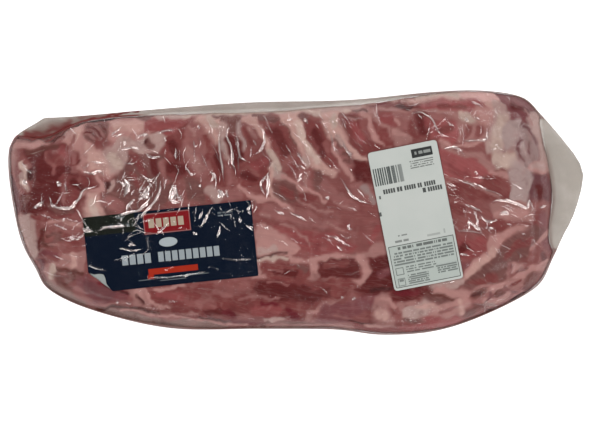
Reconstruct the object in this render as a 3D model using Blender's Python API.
"""A rack of raw pork ribs, vacuum packed in clear film, lying with its bone side up.

Three solids, in metres, +Z up, with the origin under the middle of the pack:
sealed_pack    the rack with its tight film, the film's thin margin all round and its loose end
product_label  the printed label, under one fold of film at the pack's left
store_label    the paper price label, stuck on at the right
"""

import math

import bmesh
import bpy
import numpy as np

MM = 0.001

# Driving dimensions.
RACK_THICKNESS = 27 * MM
WAIST_HEIGHT = 7.5 * MM  # the widest level of the rack, where the film's margin leaves it
EDGE_ROUNDING = 17 * MM  # how far in from its outline the rack is rounded off
FILM_MARGIN_THICKNESS = 1.6 * MM

# The outline seen from above, anticlockwise, with each side starting at its own corner. Each point gives the
# rack's x and y and how far the film's margin stands out from it there, in millimetres: the film makes a web
# across the top left corner, and its loose end is at the right.
OUTLINE = {
    "bottom": [
        (-196, -61, 1.8), (-160, -77, 2), (-100, -89, 3.5), (-30, -91, 2), (30, -92, 1.5), (68, -96.5, 1.2),
        (110, -93.5, 1.2), (150, -80.5, 1.2),
    ],
    "right": [
        (190, -59, 1.2), (202, -36, 2.5), (202, -12, 14), (205, 10, 20), (203, 30, 26), (198, 55, 15),
        (192, 76, 4),
    ],
    "top": [
        (179, 91, 1.5), (148, 96, 1.5), (110, 94, 2.5), (40, 85, 5), (-40, 81, 7), (-120, 78, 4),
        (-170, 73, 4.5), (-199, 61, 15),
    ],
    "left": [(-224, 60, 1.5), (-229.5, 47, 1.2), (-228, 20, 1.2), (-220, -20, 1.2), (-208, -44, 1.2)],
}

# How finely the solid is faceted: cells along the rack and across it, and how much they crowd at the outline,
# from 0, even cells, to 1.
CELLS_ALONG = 84
CELLS_ACROSS = 28
CROWDING_ALONG = 0.3
CROWDING_ACROSS = 0.55
POINTS_PER_SPAN = 16  # between two points of the outline

# Ribs: evenly spaced bones that leave the straight upper edge and lean more towards the thick end.
RIB_COUNT = 13
RIB_PITCH = 29.5 * MM
RIB_FIRST_X = -205 * MM
RIB_LINE_Y = 65 * MM  # where the pitch is measured
RIB_UPRIGHT_X = -75 * MM  # the ribs left of this run straight across the rack
RIB_LEAN_PER_METRE = 6.0
RIB_MOST_LEAN = 0.9
RIB_BEND_LENGTH = 28 * MM  # this far down from its line, a rib leans twice as much
RIB_HALF_WIDTH = 7 * MM
RIB_RISE = 3.5 * MM
RIB_BARE_LENGTHS = (115 * MM, 30 * MM)  # of the first rib and the last, before muscle covers them

# Long muscles along the lower edge, side by side.
MUSCLE_PITCH = 21 * MM
MUSCLE_RISE = 1.3 * MM
MUSCLE_SLOPE = 0.10
MUSCLE_FROM_Y = -15 * MM
MUSCLE_FULL_Y = -45 * MM

# Swellings and hollows of the rack: x, y, rise, half length, half width, in millimetres.
SWELLINGS = [
    (150, 15, 8.0, 62, 60),  # the thick end
    (178, 52, 3.5, 14, 12),  # the knuckle of the breast bone
    (160, 8, 2.0, 16, 7),
    (165, -30, 2.5, 26, 16),
    (0, -58, 2.5, 90, 16),  # the skirt of muscle along the lower edge
    (-100, -30, 2.0, 60, 30),
    (-195, 25, 3.0, 26, 22),  # the lean at the thin end
    (-188, -45, 1.5, 20, 14),
    (-214, 60, -3.0, 26, 12),
    (-60, 45, -2.0, 30, 26),
    (60, 60, -2.5, 34, 22),
]

# Labels: centre x, centre y, length, width in millimetres, then their turn in degrees.
PRODUCT_LABEL = {"x": -99.6, "y": -27.2, "length": 135, "width": 61, "turn": 6.0}
STORE_LABEL = {"x": 93.5, "y": -2.3, "length": 55.5, "width": 111, "turn": 11.0}
LABEL_THICKNESS = 0.5 * MM
LABEL_GAP = 0.7 * MM
LABEL_CELL = 5.5 * MM
FOLDED_CORNER = 27 * MM  # length of the product label's lower edge that is folded in at its left end
FOLDED_CORNER_WIDTH = 13 * MM
LABEL_FLATTENS = 0.72  # share of the relief that a label's stiffness presses flat
LABEL_SOFT_EDGE = 9 * MM

# The film's loose parts: how steeply they hang from the waist, and their ripple.
FILM_DROOP = 0.24
FILM_LOWEST = 2 * MM
RIPPLE_PITCH = 19 * MM
RIPPLE_SHARE = 0.05

# Rings below the waist: how far in from the outline each lies, and its height.
UNDERSIDE_RINGS = [(1.5 * MM, 4.0 * MM), (5.0 * MM, 1.2 * MM), (10.0 * MM, 0.0)]
HALF_LENGTH = 229 * MM
HALF_WIDTH = 96 * MM


def smoothstep(low, high, value):
    """0 below low, 1 above high, and smooth between."""
    share = np.clip((value - low) / (high - low), 0, 1)
    return share * share * (3 - 2 * share)


def side_curves():
    """The closed smooth curve through the outline and the film's reach, one dense line for each side."""
    points = np.array([p for side in OUTLINE.values() for p in side], float) * MM
    share = np.linspace(0, 1, POINTS_PER_SPAN, endpoint=False)[:, None]
    count = len(points)
    spans = []
    for i in range(count):
        a, b, c, d = (points[(i + k) % count] for k in (-1, 0, 1, 2))
        slope = (c - a) * share
        bend = (2 * a - 5 * b + 4 * c - d) * share**2
        twist = (3 * b - a - 3 * c + d) * share**3
        spans.append(b + (slope + bend + twist) / 2)
    curves = {}
    first = 0
    for name, side in OUTLINE.items():
        last = first + len(side)
        curves[name] = np.vstack(spans[first:last] + [points[last % count][None]])
        first = last
    return curves


def spaced(line, shares):
    """Points of a line at the given shares of its length."""
    steps = np.linalg.norm(np.diff(line[:, :2], axis=0), axis=1)
    length = np.concatenate([[0], np.cumsum(steps)])
    return np.column_stack([np.interp(shares * length[-1], length, column) for column in line.T])


def crowded(cells, crowding):
    """Shares from 0 to 1 that lie closer together at both ends."""
    even = np.linspace(0, 1, cells + 1)
    return even - crowding * np.sin(2 * math.pi * even) / (2 * math.pi)


def grid_shares():
    """Where the grid's lines lie along the rack and across it, as shares of its length and width."""
    return crowded(CELLS_ALONG, CROWDING_ALONG), crowded(CELLS_ACROSS, CROWDING_ACROSS)


def four_sides():
    """Bottom, top, left and right of the outline as matching rows of points, all running towards +X or +Y."""
    curves = side_curves()
    along, across = grid_shares()
    return (
        spaced(curves["bottom"], along),
        spaced(curves["top"][::-1], along),
        spaced(curves["left"][::-1], across),
        spaced(curves["right"], across),
    )


def patch(bottom, top, left, right):
    """The grid of points between four sides, as an array of columns along X and rows along Y."""
    along, across = grid_shares()
    u, v = along[:, None, None], across[None, :, None]
    ruled_across = (1 - v) * bottom[:, None] + v * top[:, None]
    ruled_along = (1 - u) * left[None, :] + u * right[None, :]
    corners = (1 - u) * ((1 - v) * bottom[0] + v * top[0]) + u * ((1 - v) * bottom[-1] + v * top[-1])
    return ruled_across + ruled_along - corners


def border(bottom, top, left, right):
    """The four sides as one closed ring, anticlockwise from the lower left corner."""
    return np.vstack([bottom[:-1], right[:-1], top[:0:-1], left[:0:-1]])


def film_ring_round(ring, reach):
    """The film's outer edge: the rack's outline moved out, square to itself, by the film's reach."""
    run = np.roll(ring, -1, axis=0) - np.roll(ring, 1, axis=0)
    outward = np.column_stack([run[:, 1], -run[:, 0]])
    outward /= np.linalg.norm(outward, axis=1)[:, None]
    return ring + outward * reach[:, None]


def distance_to_ring(x, y, ring):
    """How far each point is from a ring of points, measured to its straight segments."""
    point = np.stack([x, y], axis=-1)[..., None, :]
    start = ring
    run = np.roll(ring, -1, axis=0) - ring
    share = np.clip(((point - start) * run).sum(-1) / (run * run).sum(-1), 0, 1)
    nearest = start + share[..., None] * run
    return np.linalg.norm(point - nearest, axis=-1).min(-1)


def rib_relief(x, y):
    """Rounded ridges of the rib bones, each of which sinks into the muscle some way down."""
    below = RIB_LINE_Y - y
    ridges = np.zeros_like(x)
    for rib in range(RIB_COUNT):
        foot = RIB_FIRST_X + rib * RIB_PITCH
        lean = np.clip((foot - RIB_UPRIGHT_X) * RIB_LEAN_PER_METRE, 0, RIB_MOST_LEAN)
        off_line = (x - foot - lean * below * (1 + below / RIB_BEND_LENGTH)) / math.sqrt(1 + lean * lean)
        bare = np.interp(rib, (0, RIB_COUNT - 1), RIB_BARE_LENGTHS)
        ridges += np.exp(-((off_line / RIB_HALF_WIDTH) ** 2)) * smoothstep(bare, bare / 2, below)
    return RIB_RISE * ridges


def muscle_relief(x, y):
    """Long rounded muscles side by side, along the lower edge."""
    across = (y + MUSCLE_SLOPE * x) / MUSCLE_PITCH
    return MUSCLE_RISE * np.cos(2 * math.pi * across) * smoothstep(MUSCLE_FROM_Y, MUSCLE_FULL_Y, y)


def swelling_relief(x, y):
    """The larger swellings and hollows."""
    total = np.zeros_like(x)
    for centre_x, centre_y, rise, half_length, half_width in SWELLINGS:
        along = (x / MM - centre_x) / half_length
        across = (y / MM - centre_y) / half_width
        total += rise * MM * np.exp(-(along**2) - across**2)
    return total


def under_label(x, y, label):
    """1 where a label presses the film flat, falling to 0 outside it."""
    turn = math.radians(label["turn"])
    dx, dy = x - label["x"] * MM, y - label["y"] * MM
    along = np.abs(dx * math.cos(turn) + dy * math.sin(turn)) - label["length"] / 2 * MM
    across = np.abs(dy * math.cos(turn) - dx * math.sin(turn)) - label["width"] / 2 * MM
    return smoothstep(LABEL_SOFT_EDGE, 0, np.maximum(along, across))


def top_height(x, y, ring):
    """Height of the pack's upper side over the floor."""
    labelled = np.maximum(under_label(x, y, PRODUCT_LABEL), under_label(x, y, STORE_LABEL))
    fine_relief = (rib_relief(x, y) + muscle_relief(x, y)) * (1 - LABEL_FLATTENS * labelled)
    full = RACK_THICKNESS + swelling_relief(x, y) + fine_relief
    inward = np.clip(distance_to_ring(x, y, ring) / EDGE_ROUNDING, 0, 1)
    rounding = (1 - (1 - inward) ** 2) ** 0.6
    upper_side_of_margin = WAIST_HEIGHT + FILM_MARGIN_THICKNESS / 2
    return upper_side_of_margin + (full - upper_side_of_margin) * rounding


def ring_length(ring):
    """Running length along a closed ring, at each of its points."""
    steps = np.linalg.norm(np.diff(ring, axis=0), axis=1)
    return np.concatenate([[0], np.cumsum(steps)])


def film_edge_height(film_ring, reach):
    """Height of the film's outer edge: it hangs lower the further it reaches, and ripples."""
    ripple = RIPPLE_SHARE * reach * np.sin(2 * math.pi * ring_length(film_ring) / RIPPLE_PITCH)
    return np.maximum(WAIST_HEIGHT - FILM_DROOP * reach + ripple, FILM_LOWEST)


def new_object(name, mesh_builder, material):
    """A named object of a finished bmesh, shaded smooth, with one material."""
    mesh = bpy.data.meshes.new(name)
    mesh_builder.to_mesh(mesh)
    mesh_builder.free()
    mesh.shade_smooth()
    mesh.materials.append(material)
    obj = bpy.data.objects.new(name, mesh)
    bpy.context.scene.collection.objects.link(obj)
    return obj


def plain_material(name, color, roughness):
    """A Principled material with no metal in it."""
    material = bpy.data.materials.new(name)
    material.use_nodes = True
    shader = material.node_tree.nodes["Principled BSDF"]
    shader.inputs["Base Color"].default_value = (*color, 1)
    shader.inputs["Roughness"].default_value = roughness
    shader.inputs["Metallic"].default_value = 0
    return material


def join_rings(bm, outer, inner):
    """A band of quads between two rings of vertices with the same count."""
    count = len(outer)
    for i in range(count):
        after = (i + 1) % count
        bm.faces.new((outer[i], outer[after], inner[after], inner[i]))


def build_pack(material):
    """The rack in its film: a grid on top, and rings that lead from it round the margin to the flat base."""
    sides = four_sides()
    rack_ring, reach = np.split(border(*sides), [2], axis=1)
    reach = reach[:, 0]
    film_ring = film_ring_round(rack_ring, reach)
    grid = patch(*sides)[..., :2]
    middle = (film_ring.min(axis=0) + film_ring.max(axis=0)) / 2
    rack_ring, film_ring, grid = rack_ring - middle, film_ring - middle, grid - middle
    height = top_height(grid[..., 0], grid[..., 1], rack_ring)

    bm = bmesh.new()
    surface = np.dstack([grid, height])
    top = [[bm.verts.new(point) for point in column] for column in surface]
    for i in range(CELLS_ALONG):
        for j in range(CELLS_ACROSS):
            bm.faces.new((top[i][j], top[i + 1][j], top[i + 1][j + 1], top[i][j + 1]))

    def ring_at(points, heights):
        return [bm.verts.new((x, y, z)) for (x, y), z in zip(points, np.broadcast_to(heights, len(points)))]

    upper_waist = (
        [column[0] for column in top[:-1]]
        + top[-1][:-1]
        + [column[-1] for column in top[:0:-1]]
        + top[0][:0:-1]
    )
    edge_height = film_edge_height(film_ring, reach)
    half_film = FILM_MARGIN_THICKNESS / 2
    rings = [
        upper_waist,
        ring_at(film_ring, edge_height + half_film),
        ring_at(film_ring, edge_height - half_film),
        ring_at(rack_ring, WAIST_HEIGHT - half_film),
    ]
    for inset, ring_height in UNDERSIDE_RINGS:
        scale = np.array([1 - inset / HALF_LENGTH, 1 - inset / HALF_WIDTH])
        rings.append(ring_at(rack_ring * scale, ring_height))
    for outer, inner in zip(rings[1:], rings[:-1]):
        join_rings(bm, outer, inner)
    bm.faces.new(rings[-1][::-1])
    bmesh.ops.recalc_face_normals(bm, faces=bm.faces)
    return new_object("sealed_pack", bm, material)


def build_label(name, label, material, pack, fold=None):
    """A thin sheet laid on the pack: a flat grid, turned, dropped on the film and given its thickness."""
    length, width = label["length"] * MM, label["width"] * MM
    bm = bmesh.new()
    bmesh.ops.create_grid(
        bm,
        x_segments=round(length / LABEL_CELL),
        y_segments=round(width / LABEL_CELL),
        size=0.5,
    )
    bmesh.ops.scale(bm, vec=(length, width, 1), verts=bm.verts)
    if fold:
        along, across = fold
        bmesh.ops.bisect_plane(
            bm,
            geom=bm.verts[:] + bm.edges[:] + bm.faces[:],
            plane_co=(along - length / 2, -width / 2, 0),
            plane_no=(-across, -along, 0),
            clear_outer=True,
        )
    above_pack = 2 * RACK_THICKNESS
    obj = new_object(name, bm, material)
    obj.location = (label["x"] * MM, label["y"] * MM, above_pack)
    obj.rotation_euler.z = math.radians(label["turn"])

    drop = obj.modifiers.new("drop on the pack", "SHRINKWRAP")
    drop.wrap_method = "PROJECT"
    drop.use_project_z = True
    drop.use_negative_direction = True
    drop.use_positive_direction = False
    drop.target = pack
    lift = obj.modifiers.new("clear the film", "DISPLACE")
    lift.direction = "Z"
    lift.mid_level = 0
    lift.strength = LABEL_GAP
    thicken = obj.modifiers.new("thickness", "SOLIDIFY")
    thicken.thickness = LABEL_THICKNESS
    thicken.offset = 1
    return obj


def main():
    for obj in list(bpy.data.objects):
        bpy.data.objects.remove(obj)
    lean_under_film = plain_material("lean under film", (0.26, 0.07, 0.065), 0.25)
    navy_print = plain_material("navy print", (0.006, 0.012, 0.024), 0.22)
    label_paper = plain_material("label paper", (0.58, 0.61, 0.58), 0.55)
    pack = build_pack(lean_under_film)
    build_label("product_label", PRODUCT_LABEL, navy_print, pack, fold=(FOLDED_CORNER, FOLDED_CORNER_WIDTH))
    build_label("store_label", STORE_LABEL, label_paper, pack)


main()
